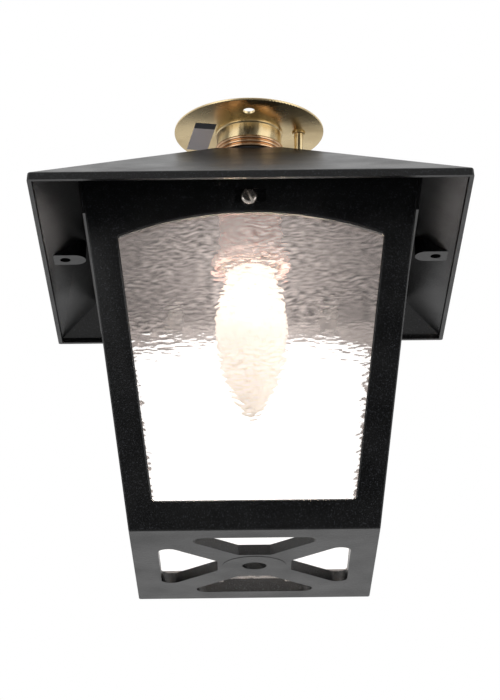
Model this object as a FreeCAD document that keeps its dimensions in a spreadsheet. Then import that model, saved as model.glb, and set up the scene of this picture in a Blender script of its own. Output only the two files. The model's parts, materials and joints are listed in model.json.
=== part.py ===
import FreeCAD, Part
import math
import os
import re
import Sketcher

# A square porch lantern that hangs from a round brass ceiling plate.
# Millimetres. The origin is the centre of the plate's upper face, which
# meets the ceiling. Z points up and the front of the lantern looks to -Y.

sizes = {
    # how far a cut runs past the face that it opens
    "cutPast": 1.0,
    # ceiling plate, its label and its earth terminal
    "plateRadius": 37.5,
    "plateThickness": 1.2,
    "plateEdgeRound": 0.35,
    "fixingCentres": 50.8,
    "fixingHoleRadius": 2.9,
    "labelWidth": 10.5,
    "labelLength": 30.0,
    "labelThickness": 0.15,
    "labelTurn": 10.0,
    "labelInset": 13.5,
    "labelAlong": 3.0,
    "earthOffset": 25.0,
    "earthPillarRadius": 2.3,
    "earthPillarLength": 11.0,
    "earthCollarRadius": 3.3,
    "earthCollarThickness": 0.9,
    "earthScrewRadius": 1.3,
    "earthScrewLength": 5.0,
    "earthHeadRadius": 2.7,
    "earthHeadHeight": 1.7,
    "earthWasherRadius": 3.2,
    "earthWasherThickness": 0.6,
    # neck: a tube soldered to the plate, threaded below its shoulder
    "neckRadius": 16.2,
    "neckBeadProud": 0.6,
    "neckBeadDepth": 1.5,
    "neckShoulderDepth": 9.7,
    "neckThreadStep": 0.6,
    "neckWall": 2.0,
    "neckTail": 3.6,
    "neckWebThickness": 1.6,
    "threadClearance": 0.06,
    # lock rings and gasket that clamp the roof on the neck
    "ringProud": 1.15,
    "ringHeight": 6.3,
    "ringGap": 0.1,
    "ringGrooveDepth": 0.6,
    "ringGrooveWidth": 0.9,
    "gasketProud": 0.6,
    "gasketThickness": 0.9,
    "gasketGap": 0.2,
    "lowerRingProud": 0.7,
    "lowerRingHeight": 4.5,
    # roof: a hollow pyramid with a turned-down edge
    "plateauMargin": 0.2,
    "roofEaveHalf": 101.7,
    "roofRise": 52.83,
    "lipProud": 0.25,
    "lipDrop": 3.73,
    "roofWall": 2.0,
    "roofTopWall": 2.6,
    "roofHoleClearance": 0.3,
    "roofEdgeRound": 1.2,
    "lugGap": 1.97,
    "lugEdgeGap": 2.6,
    "lugWidth": 11.4,
    "lugRise": 4.26,
    "lugHoleRadius": 2.6,
    "lugHoleInset": 5.95,
    "lugHoleDepth": 2.4,
    "forkWidth": 18.0,
    "forkThickness": 3.0,
    "forkSlotWidth": 6.2,
    "forkClearance": 0.35,
    "forkPaneGap": 0.7,
    "forkSlotRelief": 0.3,
    # lantern body: one casting, four window sides and a pierced base
    "baseDepth": 227.1,
    "baseHalf": 56.6,
    "sideTaper": 0.136,
    "bodyRoofGap": 0.61,
    "wallThickness": 2.5,
    "baseThickness": 5.0,
    "cornerRound": 0.8,
    "bandMargin": 0.8,
    "bandProud": 1.2,
    "sillRise": 13.7,
    "sillStile": 12.66,
    "windowRise": 11.2,
    "topStile": 13.66,
    "crownDrop": 5.64,
    "windowCornerRound": 1.6,
    "windowChamfer": 0.7,
    "baseRim": 12.1,
    "ventHubGap": 2.3,
    "ventBarWidth": 13.8,
    "ventCornerRound": 4.8,
    "ventInnerRound": 1.0,
    "baseHoleRadius": 5.7,
    "hubRadius": 15.0,
    "hubHeight": 0.15,
    "railSlotWidth": 14.5,
    "railSlotHeight": 6.3,
    "railSlotRise": 8.05,
    "paneRibLength": 30.0,
    "paneRibHeight": 3.0,
    "paneRibThickness": 2.0,
    "barRibThickness": 2.0,
    # glass panes and their clips
    "paneThickness": 3.0,
    "paneOverlap": 3.0,
    "paneTopLap": 2.4,
    "paneClearance": 0.05,
    "paneFootGap": 0.3,
    "clipOffset": 40.0,
    "clipWidth": 9.0,
    "clipThickness": 0.8,
    "clipReach": 5.0,
    "clipTopLap": 0.3,
    "clipBossRadius": 3.2,
    "clipBossRise": 6.0,
    "clipScrewRadius": 1.5,
    "clipScrewLength": 4.6,
    "clipScrewEndGap": 0.2,
    "clipHeadRadius": 2.7,
    "clipHeadHeight": 1.7,
    "clipSlotWidth": 0.8,
    "clipSlotDepth": 0.7,
    "clipSlotTurn": 30.0,
    # the two screws that hold the lantern body on the roof
    "screwDrop": 0.95,
    "screwShift": -0.8,
    "screwRadius": 2.0,
    "screwLength": 12.5,
    "screwHeadRadius": 3.9,
    "screwHeadHeight": 2.4,
    "driverSlotWidth": 1.1,
    "driverSlotDepth": 1.2,
    "frontSlotTurn": 62.0,
    "rearSlotTurn": 15.0,
    "clampBarLength": 24.0,
    "clampBarWidth": 7.0,
    "clampBarThickness": 3.0,
    "clampBarGap": 0.2,
    # lampholder
    "nippleRadius": 5.0,
    "nippleBore": 3.6,
    "nippleRise": 4.2,
    "nippleEntry": 5.8,
    "nippleNutFlats": 14.0,
    "nippleNutHeight": 3.0,
    "holderDrop": 3.0,
    "holderCollarWall": 2.4,
    "holderCollarHeight": 3.0,
    "capStep": 0.4,
    "holderWall": 0.8,
    "coreDrop": 8.0,
    "coreThickness": 9.0,
    "coreClearance": 0.1,
    "skirtGap": 0.45,
    "skirtWall": 1.0,
    "skirtFlangeProud": 3.8,
    "skirtFlangeHeight": 6.0,
    "skirtLength": 25.0,
    "skirtGrooveDepth": 0.7,
    "skirtRimWidth": 3.0,
    "lampThreadClearance": 0.25,
    "shellWall": 0.4,
    "shellRise": 1.5,
    "contactRadius": 3.2,
    "contactThickness": 1.1,
    "terminalOffset": 8.6,
    "terminalRadius": 2.1,
    "terminalHeight": 1.6,
    "terminalSlotWidth": 0.8,
    "terminalSlotDepth": 0.6,
    # candle lamp
    "lampClearance": 0.3,
    "lampTipRadius": 4.6,
    "lampTipThickness": 1.2,
    "lampInsulatorHeight": 3.4,
    "lampInsulatorRadius": 9.6,
    "lampCapRadius": 13.1,
    "lampThreadHeight": 0.8,
    "lampCapWall": 0.5,
    "lampCapPitch": 3.6,
    "lampCapLength": 20.6,
    "glassSeatGap": 0.3,
    "glassNeckLap": 6.6,
    "glassWidestRadius": 17.5,
    "glassSwellDrop": 31.4,
    "glassLength": 75.9,
    "glassWall": 0.7,
    "stemFlareDepth": 12.0,
    "stemRadius": 2.6,
    "stemClearance": 0.1,
    "stemDrop": 14.4,
    "filamentDrop": 3.5,
    "filamentRadius": 8.0,
    "filamentWire": 0.45,
    "filamentAngle": 250.0,
    "leadRadius": 0.4,
    "leadGap": 0.1,
    "leadRise": 2.0,
}

# Sizes that follow from the ones above.
workings = {
    "labelAcross": "labelInset - plateRadius",
    "neckBeadRadius": "neckRadius + neckBeadProud",
    "threadRadius": "neckRadius - neckThreadStep",
    "neckBore": "neckRadius - neckWall",
    "wireHoleRadius": "neckBore",
    "ringRadius": "neckRadius + ringProud",
    "ringBore": "threadRadius + threadClearance",
    "ringTopDepth": "neckShoulderDepth + ringGap",
    "gasketRadius": "neckRadius + gasketProud",
    "lowerRingRadius": "neckRadius + lowerRingProud",
    # roof
    "roofPlateauDepth": "ringTopDepth + ringHeight + gasketGap + gasketThickness",
    "roofPlateauHalf": "gasketRadius + plateauMargin",
    "roofEaveDepth": "roofPlateauDepth + roofRise",
    "roofLipHalf": "roofEaveHalf + lipProud",
    "roofLipDepth": "roofEaveDepth + lipDrop",
    "roofSlope": "roofRise / (roofEaveHalf - roofPlateauHalf)",
    "roofLean": "sqrt(1 + roofSlope ^ 2)",
    "roofInnerApex": "roofPlateauDepth - roofSlope * roofPlateauHalf + roofWall * roofLean",
    "roofInnerTopDepth": "roofPlateauDepth + roofTopWall",
    "roofInnerTopHalf": "(roofInnerTopDepth - roofInnerApex) / roofSlope",
    "lipSlope": "lipProud / lipDrop",
    "lipInnerHalf": "roofLipHalf - roofWall * sqrt(1 + lipSlope ^ 2)",
    "eaveSlopeDrop": "lipSlope * (roofLipDepth - roofInnerApex)",
    "eaveInnerHalf": "(lipInnerHalf - eaveSlopeDrop) / (1 - lipSlope * roofSlope)",
    "eaveInnerDepth": "roofInnerApex + roofSlope * eaveInnerHalf",
    "roofHoleRadius": "threadRadius + roofHoleClearance",
    "lowerRingTopDepth": "roofPlateauDepth + roofTopWall + ringGap",
    "neckDepth": "lowerRingTopDepth + lowerRingHeight + neckTail",
    "lugDepth": "roofLipDepth - lugRise",
    "lugInner": "baseHalf + bandProud + sideTaper * (baseDepth - lugDepth) + lugGap",
    "lugOuter": "lipInnerHalf - lugEdgeGap",
    "lugHoleOffset": "lugOuter - lugHoleInset",
    # lantern body
    "lean": "sqrt(1 + sideTaper ^ 2)",
    "wallAcross": "wallThickness * lean",
    "bandSpread": "baseHalf + bandProud + sideTaper * baseDepth",
    "bodyTopReach": "roofInnerApex + roofSlope * bandSpread + bodyRoofGap",
    "bodyTopDepth": "bodyTopReach / (1 + roofSlope * sideTaper)",
    "bodyTopHalf": "baseHalf + sideTaper * (baseDepth - bodyTopDepth)",
    "floorDepth": "baseDepth - baseThickness",
    "floorHalf": "baseHalf + sideTaper * baseThickness",
    "sillDepth": "baseDepth - sillRise",
    "sillHalf": "baseHalf + sideTaper * sillRise - sillStile",
    "windowApexDepth": "roofLipDepth + crownDrop",
    "windowTopDepth": "windowApexDepth + windowRise",
    "windowTopHalf": "baseHalf + sideTaper * (baseDepth - windowTopDepth) - topStile",
    "archRadius": "(windowTopHalf ^ 2 + windowRise ^ 2) / (2 * windowRise)",
    "bandDepth": "windowApexDepth - bandMargin",
    "bandHalf": "baseHalf + sideTaper * (baseDepth - bandDepth)",
    "ventOuter": "baseHalf - baseRim",
    "ventInner": "hubRadius + ventHubGap",
    "ventCornerHalf": "ventOuter - ventBarWidth / sqrt(2)",
    "ventNarrowHalf": "ventInner - ventBarWidth / sqrt(2)",
    "paneBack": "wallThickness + paneClearance + paneThickness",
    # body screws and the tabs that they clamp
    "railSlotDepth": "windowApexDepth - railSlotRise",
    "screwDepth": "railSlotDepth + screwDrop",
    "screwWallHalf": "baseHalf + sideTaper * (baseDepth - screwDepth)",
    "forkDepth": "windowApexDepth - paneTopLap - sideTaper * paneBack - forkPaneGap",
    "forkBack": "wallThickness + forkClearance + forkThickness",
    "barBack": "forkBack + clampBarWidth / 2 * sideTaper + clampBarGap",
    # lampholder
    "nippleHoleRadius": "nippleRadius + threadClearance",
    "nippleTopDepth": "neckDepth - neckWebThickness - nippleRise",
    "holderTopDepth": "neckDepth + nippleNutHeight + holderDrop",
    "nippleBottomDepth": "holderTopDepth + nippleEntry",
    "holderCollarRadius": "nippleRadius + holderCollarWall",
    "coreTopDepth": "holderTopDepth + coreDrop",
    "coreBottomDepth": "coreTopDepth + coreThickness",
    "skirtBottomDepth": "coreBottomDepth + skirtLength",
    "shellRadius": "lampCapRadius + lampThreadClearance",
    "skirtRadius": "shellRadius + shellWall + skirtGap + skirtWall",
    "skirtFlangeRadius": "skirtRadius + skirtFlangeProud",
    "holderCapRadius": "skirtRadius + capStep",
    # lamp
    "lampTipDepth": "coreBottomDepth + contactThickness + lampClearance",
    "lampTipBottomDepth": "lampTipDepth + lampTipThickness",
    "lampCapTopDepth": "lampTipBottomDepth + lampInsulatorHeight",
    "lampCapBottomDepth": "lampCapTopDepth + lampCapLength",
    "lampCapRoot": "lampCapRadius - lampThreadHeight",
    "glassNeckRadius": "lampCapRoot - lampCapWall - glassSeatGap",
    "glassNeckInner": "glassNeckRadius - glassWall - stemClearance",
    "glassNeckTopDepth": "lampCapBottomDepth - glassNeckLap",
    "glassWidestDepth": "lampCapBottomDepth + glassSwellDrop",
    "glassTipDepth": "lampCapBottomDepth + glassLength",
    "stemBottomDepth": "lampCapBottomDepth + stemDrop",
    "filamentDepth": "stemBottomDepth + filamentDrop",
}

doc = FreeCAD.newDocument("PorchCeilingLantern")
sheet = doc.addObject("Spreadsheet::Sheet", "Sizes")


def fillSheet():
    for row, (name, value) in enumerate(sizes.items(), 1):
        sheet.set("A%d" % row, name)
        sheet.set("B%d" % row, str(value))
        sheet.setAlias("B%d" % row, name)
    for row, (name, formula) in enumerate(workings.items(), 1):
        sheet.set("D%d" % row, name)
        sheet.set("E%d" % row, "=" + formula)
        sheet.setAlias("E%d" % row, name)
    doc.recompute()


def size(name):
    return float(sheet.get(name))


def linked(formula):
    # Puts the sheet's name before each size named in a formula.
    def withSheet(found):
        word = found.group()
        known = word in sizes or word in workings
        return "Sizes." + word if known else word
    return re.sub(r"[A-Za-z]+", withSheet, formula)


def bind(thing, **formulas):
    for name, formula in formulas.items():
        thing.setExpression(name.replace("_", "."), linked(formula))
    return thing


def originPart(body, role):
    return [item for item in body.Origin.OriginFeatures if item.Role == role][0]


def newSketch(body, name, plane, lift):
    # The lift is a formula for the height over the plane, or a placement.
    sketch = body.newObject("Sketcher::SketchObject", name)
    sketch.AttachmentSupport = [(originPart(body, plane), "")]
    sketch.MapMode = "FlatFace"
    if isinstance(lift, FreeCAD.Placement):
        sketch.AttachmentOffset = lift
        return sketch
    return bind(sketch, AttachmentOffset_Base_z=lift)


def pin(sketch, element, end, across, up, start=(1.0, 1.0)):
    # Holds one point of a sketch at bound distances from its origin.
    for kind, formula, value in (("DistanceX", across, start[0]), ("DistanceY", up, start[1])):
        number = sketch.addConstraint(Sketcher.Constraint(kind, -1, 1, element, end, value))
        sketch.setExpression("Constraints[%d]" % number, linked(formula))


def addLoop(sketch, corners):
    count = len(corners)
    first = sketch.GeometryCount
    startReach = 20.0
    start = [startReach * FreeCAD.Vector(math.cos(turnBy), math.sin(turnBy), 0)
             for turnBy in (2 * math.pi * i / count for i in range(count))]
    for i in range(count):
        sketch.addGeometry(Part.LineSegment(start[i], start[(i + 1) % count]))
    for i in range(count):
        joined = first + (i + 1) % count
        sketch.addConstraint(Sketcher.Constraint("Coincident", first + i, 2, joined, 1))
    for i, (across, up) in enumerate(corners):
        pin(sketch, first + i, 1, across, up)


def polygon(body, name, plane, corners, lift="0"):
    sketch = newSketch(body, name, plane, lift)
    addLoop(sketch, corners)
    return sketch


def square(body, name, halfX, halfY, lift):
    corners = [("-(%s)" % halfX, "-(%s)" % halfY), (halfX, "-(%s)" % halfY),
               (halfX, halfY), ("-(%s)" % halfX, halfY)]
    return polygon(body, name, "XY_Plane", corners, lift)


def circles(body, name, plane, lift, *rounds):
    # Each round is (across, up, radius).
    sketch = newSketch(body, name, plane, lift)
    for number, (across, up, radius) in enumerate(rounds):
        sketch.addGeometry(Part.Circle(FreeCAD.Vector(1, 1, 0), FreeCAD.Vector(0, 0, 1), 1 + number))
        pin(sketch, number, 3, across, up)
        held = sketch.addConstraint(Sketcher.Constraint("Radius", number, 1.0 + number))
        sketch.setExpression("Constraints[%d]" % held, linked(radius))
    return sketch


def newBody(label):
    body = doc.addObject("PartDesign::Body", label)
    body.Label = label
    return body


def pad(body, name, sketch, length, midplane=False):
    feature = body.newObject("PartDesign::Pad", name)
    feature.Profile = sketch
    feature.Midplane = midplane
    return bind(feature, Length=length)


def pocketThrough(body, name, sketch, depth, midplane=False, reversed=False):
    feature = body.newObject("PartDesign::Pocket", name)
    feature.Profile = sketch
    feature.Midplane = midplane
    feature.Reversed = reversed
    return bind(feature, Length=depth)


def loft(body, name, kind, sections):
    feature = body.newObject("PartDesign::%sLoft" % kind, name)
    feature.Profile = sections[0]
    feature.Sections = sections[1:]
    feature.Ruled = True
    return feature


def around(body, name, features, copies):
    # Repeats features evenly about the Z axis.
    pattern = body.newObject("PartDesign::PolarPattern", name)
    pattern.Originals = features
    pattern.Axis = (originPart(body, "Z_Axis"), [""])
    pattern.Angle = 360
    pattern.Occurrences = copies
    body.Tip = pattern
    return pattern


def roundEdges(body, name, base, chosen, radius, kind="Fillet"):
    # Rounds or bevels the edges of the base feature that the test picks.
    doc.recompute()
    picked = ["Edge%d" % (i + 1) for i, edge in enumerate(base.Shape.Edges) if chosen(edge)]
    feature = body.newObject("PartDesign::" + kind, name)
    feature.Base = (base, picked)
    body.Tip = feature
    bind(feature, **{"Radius" if kind == "Fillet" else "Size": radius})
    doc.recompute()
    change = abs(feature.Shape.Volume / base.Shape.Volume - 1)
    if change > 0.02:
        raise RuntimeError("%s changed its base by %.1f%%" % (name, 100 * change))
    return feature


def turned(label, corners):
    # A piece turned about the Z axis from a closed outline of radius and height.
    body = newBody(label)
    outline = polygon(body, label + "_outline", "XZ_Plane", corners)
    revolution = body.newObject("PartDesign::Revolution", label + "_turned")
    revolution.Profile = outline
    revolution.ReferenceAxis = (outline, ["V_Axis"])
    revolution.Angle = 360
    return body


def washer(label, inner, outer, top, bottom):
    return turned(label, [(inner, top), (outer, top), (outer, bottom), (inner, bottom)])


def group(label, shapes):
    feature = doc.addObject("Part::Feature", label)
    feature.Label = label
    feature.Shape = Part.makeCompound(shapes)
    return feature


def placed(shape, place):
    copy = shape.copy()
    copy.Placement = place.multiply(copy.Placement)
    return copy


def at(x, y, z):
    return FreeCAD.Placement(FreeCAD.Vector(x, y, z), FreeCAD.Rotation())


def turn(axis, degrees):
    return FreeCAD.Placement(FreeCAD.Vector(), FreeCAD.Rotation(FreeCAD.Vector(*axis), degrees))


def wallPlace(side):
    # The frame of one sloping wall: X along it, Y inwards, Z up the slope,
    # from the middle of its lower outer edge. Side 0 is the front.
    slope = math.degrees(math.atan(size("sideTaper")))
    foot = at(0, -size("baseHalf"), -size("baseDepth"))
    return turn((0, 0, 1), 90 * side) * foot * turn((1, 0, 0), slope)


def upWall(depth):
    # Distance up a wall's slope to a depth below the ceiling.
    return (size("baseDepth") - depth) * size("lean")


def near(one, other, within=0.02):
    return abs(one - other) < within


def alongZ(edge):
    first = edge.Vertexes[0]
    last = edge.Vertexes[-1]
    return near(first.X, last.X) and near(first.Y, last.Y)


def ceilingPlate():
    body = newBody("ceiling_plate")
    rounds = [("0", "0", "plateRadius"), ("0", "0", "wireHoleRadius"),
              ("0", "fixingCentres / 2", "fixingHoleRadius"),
              ("0", "-fixingCentres / 2", "fixingHoleRadius")]
    outline = circles(body, "disc_outline", "XY_Plane", "-plateThickness", *rounds)
    disc = pad(body, "disc", outline, "plateThickness")

    def rim(edge):
        return near(edge.BoundBox.XMax, size("plateRadius")) and edge.BoundBox.ZLength < 0.01
    roundEdges(body, "rim_round", disc, rim, "plateEdgeRound")
    return body


def paperLabel():
    body = newBody("paper_label")
    sketch = square(body, "label_outline", "labelWidth / 2", "labelLength / 2", "0")
    pad(body, "label", sketch, "labelThickness")
    bottom = -size("plateThickness") - size("labelThickness")
    middle = at(size("labelAcross"), size("labelAlong"), bottom)
    body.Placement = middle * turn((0, 0, 1), size("labelTurn"))
    return body


def earthTerminal():
    collar = "-plateThickness - earthCollarThickness"
    end = "-plateThickness - earthPillarLength"
    bore = "earthScrewRadius + threadClearance"
    boreTop = end + " + earthScrewLength"
    pillar = turned("earth_pillar", [
        ("0", "-plateThickness"), ("earthCollarRadius", "-plateThickness"), ("earthCollarRadius", collar),
        ("earthPillarRadius", collar), ("earthPillarRadius", end), (bore, end), (bore, boreTop),
        ("0", boreTop)])
    washerEnd = end + " - earthWasherThickness"
    ring = washer("earth_washer", bore, "earthWasherRadius", end, washerEnd)
    head = washerEnd + " - earthHeadHeight"
    screwTop = end + " + earthScrewLength * 0.8"
    screw = turned("earth_screw", [
        ("0", screwTop), ("earthScrewRadius", screwTop), ("earthScrewRadius", washerEnd),
        ("earthHeadRadius", washerEnd), ("earthHeadRadius * 0.8", head), ("0", head)])
    for body in (pillar, ring, screw):
        bind(body, Placement_Base_x="earthOffset")
    return [pillar, ring, screw]


def neck():
    web = "-neckDepth + neckWebThickness"
    return turned("neck", [
        ("neckBore", "-plateThickness"), ("neckBeadRadius", "-plateThickness"),
        ("neckBeadRadius", "-plateThickness - neckBeadDepth * 0.7"),
        ("neckRadius", "-plateThickness - neckBeadDepth"), ("neckRadius", "-neckShoulderDepth"),
        ("threadRadius", "-neckShoulderDepth"), ("threadRadius", "-neckDepth"),
        ("nippleHoleRadius", "-neckDepth"), ("nippleHoleRadius", web), ("neckBore", web)])


def upperLockRing():
    # Three grooves round the outside give a grip.
    corners = [("ringBore", "-ringTopDepth"), ("ringRadius", "-ringTopDepth")]
    grooveCount = 3
    for number in range(grooveCount):
        middle = "-ringTopDepth - ringHeight * %d / %d" % (2 * number + 1, 2 * grooveCount)
        corners += [("ringRadius", middle + " + ringGrooveWidth / 2"),
                    ("ringRadius - ringGrooveDepth", middle + " + ringGrooveWidth / 4"),
                    ("ringRadius - ringGrooveDepth", middle + " - ringGrooveWidth / 4"),
                    ("ringRadius", middle + " - ringGrooveWidth / 2")]
    foot = "-ringTopDepth - ringHeight"
    corners += [("ringRadius", foot), ("ringBore", foot)]
    return turned("upper_lock_ring", corners)


def roof():
    body = newBody("roof")
    outer = [square(body, "plateau", "roofPlateauHalf", "roofPlateauHalf", "-roofPlateauDepth"),
             square(body, "eave", "roofEaveHalf", "roofEaveHalf", "-roofEaveDepth"),
             square(body, "lip", "roofLipHalf", "roofLipHalf", "-roofLipDepth")]
    pyramid = loft(body, "pyramid", "Additive", outer)

    def hipOrEave(edge):
        level = edge.BoundBox.ZLength < 0.01
        return not level or near(edge.BoundBox.ZMax, -size("roofEaveDepth"), 0.1)
    roundEdges(body, "edge_round", pyramid, hipOrEave, "roofEdgeRound")
    mouthHalf = "lipInnerHalf + lipSlope * cutPast"
    inner = [square(body, "inner_top", "roofInnerTopHalf", "roofInnerTopHalf", "-roofInnerTopDepth"),
             square(body, "inner_eave", "eaveInnerHalf", "eaveInnerHalf", "-eaveInnerDepth"),
             square(body, "inner_lip", mouthHalf, mouthHalf, "-roofLipDepth - cutPast")]
    loft(body, "hollow", "Subtractive", inner)
    neckHole = circles(body, "neck_hole_outline", "XY_Plane", "-roofPlateauDepth",
                       ("0", "0", "roofHoleRadius"))
    pocketThrough(body, "neck_hole", neckHole, "roofTopWall + cutPast")
    sideLugs(body)
    forks(body)
    return body


def insideRoof(offset):
    # The height, at an offset from the middle, of the middle of the sloping roof wall.
    return "-roofInnerApex - roofSlope * (%s) + roofWall / 2" % offset


def sideLugs(body):
    # A screw boss on each side hangs from the slope, with a blind hole.
    profile = polygon(body, "lug_side", "XZ_Plane", [
        ("lugInner", "-lugDepth"), ("lugOuter", "-lugDepth"), ("lugOuter", insideRoof("lugOuter")),
        ("lugInner", insideRoof("lugInner"))])
    lug = pad(body, "lug", profile, "lugWidth", midplane=True)
    both = around(body, "lugs", [lug], 2)

    def innerEdge(edge):
        upright = alongZ(edge) and edge.BoundBox.ZLength > 1
        return upright and near(abs(edge.Vertexes[0].X), size("lugInner"))
    roundEdges(body, "lug_ends", both, innerEdge, "lugWidth / 2 - 0.1")
    holes = circles(body, "lug_hole_outlines", "XY_Plane", "-lugDepth",
                    ("lugHoleOffset", "0", "lugHoleRadius"), ("-lugHoleOffset", "0", "lugHoleRadius"))
    pocketThrough(body, "lug_holes", holes, "lugHoleDepth", reversed=True)


def forks(body):
    # Behind the front and rear rails a slotted tab straddles the screw.
    def behindRail(depth):
        return "baseHalf + sideTaper * (baseDepth - (%s)) - wallAcross - forkClearance" % depth
    foot = behindRail("forkDepth")
    top = behindRail("bodyTopDepth")
    back = "screwWallHalf - wallAcross - forkClearance - forkThickness"
    profile = polygon(body, "fork_side", "YZ_Plane", [
        ("-(%s)" % foot, "-forkDepth"), ("-(%s)" % back, "-forkDepth"), ("-(%s)" % back, insideRoof(back)),
        ("-(%s)" % top, insideRoof(top))])
    blade = pad(body, "fork_blade", profile, "forkWidth", midplane=True)
    slotTop = "-screwDepth + forkSlotWidth / 2 + forkSlotRelief"
    slotFoot = "-forkDepth - cutPast"
    slot = polygon(body, "fork_slot_outline", "XZ_Plane", [
        ("-forkSlotWidth / 2", slotFoot), ("forkSlotWidth / 2", slotFoot),
        ("forkSlotWidth / 2", slotTop), ("-forkSlotWidth / 2", slotTop)], "baseHalf")
    cut = pocketThrough(body, "fork_slot", slot, "bodyTopHalf - baseHalf", reversed=True)
    around(body, "forks", [blade, cut], 2)


def lanternBody():
    body = newBody("lantern_body")
    loft(body, "walls", "Additive", [
        square(body, "base_outline", "baseHalf", "baseHalf", "-baseDepth"),
        square(body, "top_outline", "bodyTopHalf", "bodyTopHalf", "-bodyTopDepth")])

    # A band on the left and right sides stands slightly proud.
    inset = "cornerRound * 2"
    lowBand = square(body, "band_low", "bandHalf + bandProud", "bandHalf - " + inset, "-bandDepth")
    highBand = square(body, "band_high", "bodyTopHalf + bandProud", "bodyTopHalf - " + inset,
                      "-bodyTopDepth")
    band = loft(body, "side_band", "Additive", [lowBand, highBand])

    def fromTheFoot(edge):
        return edge.BoundBox.ZMin < -size("baseDepth") + 0.01
    roundEdges(body, "corner_round", band, fromTheFoot, "cornerRound")
    inside = "floorHalf - wallAcross"
    mouth = "bodyTopHalf - wallAcross + sideTaper * cutPast"
    loft(body, "hollow", "Subtractive", [
        square(body, "floor_outline", inside, inside, "-floorDepth"),
        square(body, "mouth_outline", mouth, mouth, "-bodyTopDepth + cutPast")])
    windows(body)
    baseOpenings(body)
    railSlots(body)
    glassSeats(body)
    return body


def windows(body):
    # An arched window in each side, cut square to that side of the plan.
    sketch = newSketch(body, "window_outline", "XZ_Plane", "0")
    top = (size("windowTopHalf"), -size("windowTopDepth"))
    sill = (size("sillHalf"), -size("sillDepth"))
    corners = [(-top[0], top[1]), (-sill[0], sill[1]), sill, top]
    points = [FreeCAD.Vector(across, up, 0) for across, up in corners]
    for first, second in ((0, 1), (1, 2), (2, 3)):
        sketch.addGeometry(Part.LineSegment(points[first], points[second]))
    crown = FreeCAD.Vector(0, -size("windowApexDepth"), 0)
    sketch.addGeometry(Part.Arc(points[3], crown, points[0]))
    pin(sketch, 0, 1, "-windowTopHalf", "-windowTopDepth", corners[0])
    pin(sketch, 1, 1, "-sillHalf", "-sillDepth", corners[1])
    pin(sketch, 2, 1, "sillHalf", "-sillDepth", corners[2])
    pin(sketch, 2, 2, "windowTopHalf", "-windowTopDepth", corners[3])
    for first, end, second, start in ((0, 2, 1, 1), (1, 2, 2, 1), (2, 2, 3, 1), (3, 2, 0, 1)):
        sketch.addConstraint(Sketcher.Constraint("Coincident", first, end, second, start))
    held = sketch.addConstraint(Sketcher.Constraint("Radius", 3, size("archRadius")))
    sketch.setExpression("Constraints[%d]" % held, linked("archRadius"))
    cut = pocketThrough(body, "window", sketch, "4 * baseHalf", midplane=True)
    four = around(body, "window_sides", [cut], 4)

    def corner(edge):
        acrossWall = edge.BoundBox.ZLength < 0.01 and edge.Length < 2 * size("wallThickness")
        depth = -edge.Vertexes[0].Z
        return acrossWall and (near(depth, size("sillDepth")) or near(depth, size("windowTopDepth")))
    rounded = roundEdges(body, "window_corner_round", four, corner, "windowCornerRound")

    def onOuterFace(vertex):
        outerHalf = size("baseHalf") + size("sideTaper") * (size("baseDepth") + vertex.Z)
        return near(max(abs(vertex.X), abs(vertex.Y)), outerHalf)

    def outerRim(edge):
        box = edge.BoundBox
        within = box.ZMin > -size("sillDepth") - 0.1 and box.ZMax < -size("windowApexDepth") + 0.1
        return within and all(onOuterFace(vertex) for vertex in edge.Vertexes)
    roundEdges(body, "window_chamfer", rounded, outerRim, "windowChamfer", "Chamfer")


def baseOpenings(body):
    outline = polygon(body, "vent_outline", "XY_Plane", [
        ("-ventCornerHalf", "-ventOuter"), ("ventCornerHalf", "-ventOuter"),
        ("ventNarrowHalf", "-ventInner"), ("-ventNarrowHalf", "-ventInner")], "-baseDepth")
    cut = pocketThrough(body, "vent", outline, "baseThickness", reversed=True)
    vents = around(body, "vents", [cut], 4)

    def upright(half, reach):
        def chosen(edge):
            box = edge.BoundBox
            across = sorted((abs(edge.Vertexes[0].X), abs(edge.Vertexes[0].Y)))
            fromBase = alongZ(edge) and near(box.ZMin, -size("baseDepth"))
            return fromBase and near(across[0], size(half)) and near(across[1], size(reach))
        return chosen
    wide = upright("ventCornerHalf", "ventOuter")
    narrow = upright("ventNarrowHalf", "ventInner")
    outer = roundEdges(body, "vent_corners", vents, wide, "ventCornerRound")
    roundEdges(body, "vent_inner_corners", outer, narrow, "ventInnerRound")
    hub = circles(body, "hub_outline", "XY_Plane", "-baseDepth", ("0", "0", "hubRadius"))
    boss = pad(body, "hub", hub, "hubHeight")
    boss.Reversed = True
    centre = circles(body, "centre_outline", "XY_Plane", "-baseDepth - hubHeight",
                     ("0", "0", "baseHoleRadius"))
    pocketThrough(body, "centre_hole", centre, "baseThickness + hubHeight + cutPast", reversed=True)


def railSlots(body):
    low = "-railSlotDepth - railSlotHeight / 2"
    high = "-railSlotDepth + railSlotHeight / 2"
    outline = polygon(body, "slot_outline", "XZ_Plane", [
        ("-railSlotWidth / 2", low), ("railSlotWidth / 2", low),
        ("railSlotWidth / 2", high), ("-railSlotWidth / 2", high)])
    pocketThrough(body, "rail_slots", outline, "4 * baseHalf", midplane=True)


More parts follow.
